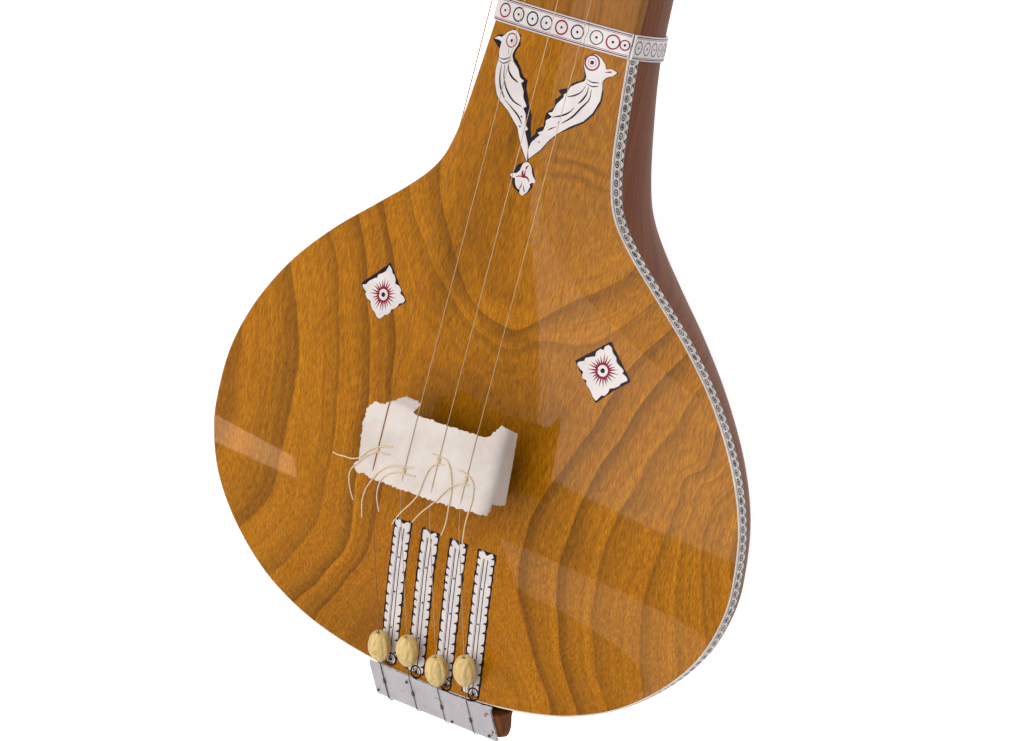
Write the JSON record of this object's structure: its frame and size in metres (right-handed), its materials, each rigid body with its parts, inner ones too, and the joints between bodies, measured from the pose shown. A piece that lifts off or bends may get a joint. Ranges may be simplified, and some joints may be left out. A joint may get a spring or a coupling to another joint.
{
  "type": "tanpura",
  "caption": "Long-necked plucked drone lute with a carved hollow body, inlaid soundboard, flat bridge, tuning pegs and sliding tuning beads on its strings.",
  "frame": {"origin": "centre of the flat on the back of the body, under the widest place of the soundboard", "axes": "+Y up the neck to the pegs, +Z out of the soundboard, +X to the right as seen from the front with the pegs up"},
  "size_m": [0.26, 1.0409, 0.1447],
  "materials": {
    "board_wood": "honey-brown tun wood under clear gloss lacquer",
    "shell_wood": "dark reddish-brown lacquered tun wood",
    "inner_wood": "bare unfinished wood",
    "dark_wood": "dark stained and polished rosewood",
    "inlay_white": "polished white inlay with engraved lines filled with dark lac",
    "binding_white": "polished cream binding with engraved ring marks",
    "plate_white": "worn satin white plate",
    "bone": "polished bone",
    "paper": "thin rough handmade paper",
    "bead": "satin cream with lengthwise flutes",
    "cotton": "twisted natural cotton thread",
    "steel": "bright drawn wire",
    "bronze": "drawn bronze wire",
    "nail": "dull steel"
  },
  "bodies": {
    "instrument": {"body_shell": "shell_wood", "neck_shell": "shell_wood", "soundboard": "board_wood", "neck_cover": "board_wood", "binding_left": "binding_white", "binding_right": "binding_white", "neck_joint_block": "inner_wood", "tail_block": "inner_wood", "soundboard_brace_lower": "inner_wood", "soundboard_brace_upper": "inner_wood", "head_block": "inner_wood", "head_cap": "dark_wood", "tailpiece_block": "dark_wood", "bridge_base": "dark_wood", "neck_band_front": "inlay_white", "neck_band_back": "inlay_white", "tail_strip_1": "inlay_white", "tail_strip_2": "inlay_white", "tail_strip_3": "inlay_white", "tail_strip_4": "inlay_white", "flower_inlay_left": "inlay_white", "flower_inlay_right": "inlay_white", "bird_inlay_left": "inlay_white", "bird_inlay_right": "inlay_white", "bud_inlay": "inlay_white", "tailpiece_plate": "plate_white", "plate_nail_1": "nail", "plate_nail_2": "nail", "plate_nail_3": "nail", "plate_nail_4": "nail", "hitch_pin_1": "nail", "hitch_pin_2": "nail", "hitch_pin_3": "nail", "hitch_pin_4": "nail", "bridge_plate": "bone", "nut": "bone", "string_guide": "bone", "bridge_paper": "paper", "string_2": "steel", "string_3": "steel", "string_4": "steel", "string_1": "bronze", "cotton_thread_1a": "cotton", "cotton_thread_1b": "cotton", "cotton_thread_2a": "cotton", "cotton_thread_2b": "cotton", "cotton_thread_3a": "cotton", "cotton_thread_3b": "cotton", "cotton_thread_4a": "cotton", "cotton_thread_4b": "cotton"},
    "bead_1": {"bead_1": "bead"},
    "bead_2": {"bead_2": "bead"},
    "bead_3": {"bead_3": "bead"},
    "bead_4": {"bead_4": "bead"},
    "tuning_peg_1": {"tuning_peg_1": "dark_wood"},
    "tuning_peg_2": {"tuning_peg_2": "dark_wood"},
    "tuning_peg_3": {"tuning_peg_3": "dark_wood"},
    "tuning_peg_4": {"tuning_peg_4": "dark_wood"}
  },
  "joints": [
    {"name": "tuning_peg_1_turn", "type": "hinge", "parent": "instrument", "child": "tuning_peg_1", "pos_m": [-0.034, 0.888, 0.0769], "axis": [-1, 0, 0], "continuous": true},
    {"name": "tuning_peg_2_turn", "type": "hinge", "parent": "instrument", "child": "tuning_peg_2", "pos_m": [-0.0134, 0.865, 0.1], "axis": [0, 0, 1], "continuous": true},
    {"name": "tuning_peg_3_turn", "type": "hinge", "parent": "instrument", "child": "tuning_peg_3", "pos_m": [0.0134, 0.911, 0.1], "axis": [0, 0, 1], "continuous": true},
    {"name": "tuning_peg_4_turn", "type": "hinge", "parent": "instrument", "child": "tuning_peg_4", "pos_m": [0.034, 0.888, 0.0769], "axis": [1, 0, 0], "continuous": true},
    {"name": "bead_1_slide", "type": "slide", "parent": "instrument", "child": "bead_1", "axis": [0, 0.8926, 0.4508], "range_m": [0, 0.03]},
    {"name": "bead_2_slide", "type": "slide", "parent": "instrument", "child": "bead_2", "axis": [0, 0.8926, 0.4508], "range_m": [0, 0.03]},
    {"name": "bead_3_slide", "type": "slide", "parent": "instrument", "child": "bead_3", "axis": [0, 0.8926, 0.4508], "range_m": [0, 0.03]},
    {"name": "bead_4_slide", "type": "slide", "parent": "instrument", "child": "bead_4", "axis": [0, 0.8926, 0.4508], "range_m": [0, 0.03]}
  ]
}
